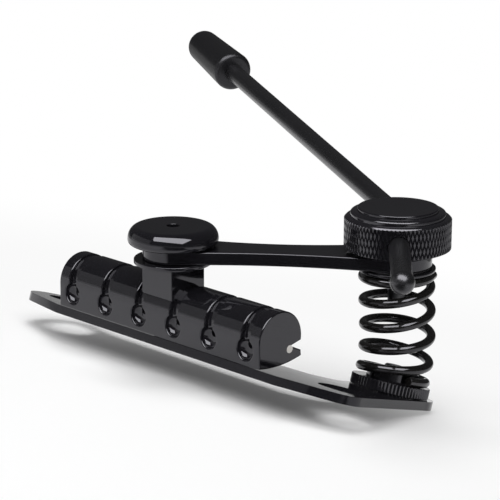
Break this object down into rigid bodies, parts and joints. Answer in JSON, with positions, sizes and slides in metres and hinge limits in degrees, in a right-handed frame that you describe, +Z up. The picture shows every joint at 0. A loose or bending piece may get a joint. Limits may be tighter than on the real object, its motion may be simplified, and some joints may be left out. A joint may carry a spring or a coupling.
{
  "type": "guitar tremolo bridge",
  "caption": "Rocking guitar tremolo bridge: a string bar on knife edges, a lever over a coil spring, and a swinging, sliding arm in a knurled holder.",
  "frame": {"origin": "on the line through the centres of both stud slots, half way between them, at the underside of the base plate", "axes": "+X along the string bar from the bass side to the treble side, +Y from the tail toward the neck, +Z up, square to the base plate"},
  "size_m": [0.1543, 0.0955, 0.069],
  "materials": {
    "black_gloss": "gloss black plating",
    "knurled_black": "gloss black, knurled",
    "spring_black": "semi-gloss black",
    "arm_black": "satin black",
    "tip_black": "satin gloss",
    "dark_steel": "black oxide",
    "bare_steel": "bare steel",
    "nylon": "matte"
  },
  "bodies": {
    "base": {"base_plate": "black_gloss", "knife_bracket_bass": "dark_steel", "knife_bracket_treble": "dark_steel", "bracket_screws": "dark_steel", "foot_stud": "dark_steel", "tension_spring": "spring_black"},
    "wheel": {"tension_wheel": "knurled_black"},
    "rocker": {"string_bar": "black_gloss", "bearing_pin": "bare_steel", "centre_post": "black_gloss", "flange_disc": "black_gloss", "lever": "black_gloss", "cap_spacer": "black_gloss", "centre_bolt": "dark_steel", "round_cap": "black_gloss", "swivel_bushing": "nylon", "wave_washer": "bare_steel", "cup_liner": "nylon", "spring_cup": "black_gloss"},
    "swivel": {"swivel_stem": "dark_steel", "lock_nut": "dark_steel", "arm_holder": "knurled_black", "holder_lid": "black_gloss", "clamp_screw": "dark_steel"},
    "arm": {"arm_rod": "arm_black", "arm_ball": "arm_black", "arm_tip": "tip_black"}
  },
  "joints": [
    {"name": "bar_rock", "type": "hinge", "parent": "base", "child": "rocker", "pos_m": [0, -0.00574, 0.00741], "axis": [-1, 0, 0], "range_deg": [0, 22], "stiffness_Nm_per_rad": 9, "deforming": ["tension_spring"]},
    {"name": "arm_swing", "type": "hinge", "parent": "rocker", "child": "swivel", "pos_m": [0.034, 0.01283, 0.03311], "axis": [0, -0.309, 0.9511], "range_deg": [-80, 60]},
    {"name": "arm_slide", "type": "slide", "parent": "swivel", "child": "arm", "axis": [-0.6972, 0.6818, 0.2215], "range_m": [-0.0015, 0.021]},
    {"name": "wheel_turn", "type": "hinge", "parent": "base", "child": "wheel", "pos_m": [0.034, 0.0213, 0.004], "axis": [0, 0, 1], "continuous": true}
  ]
}
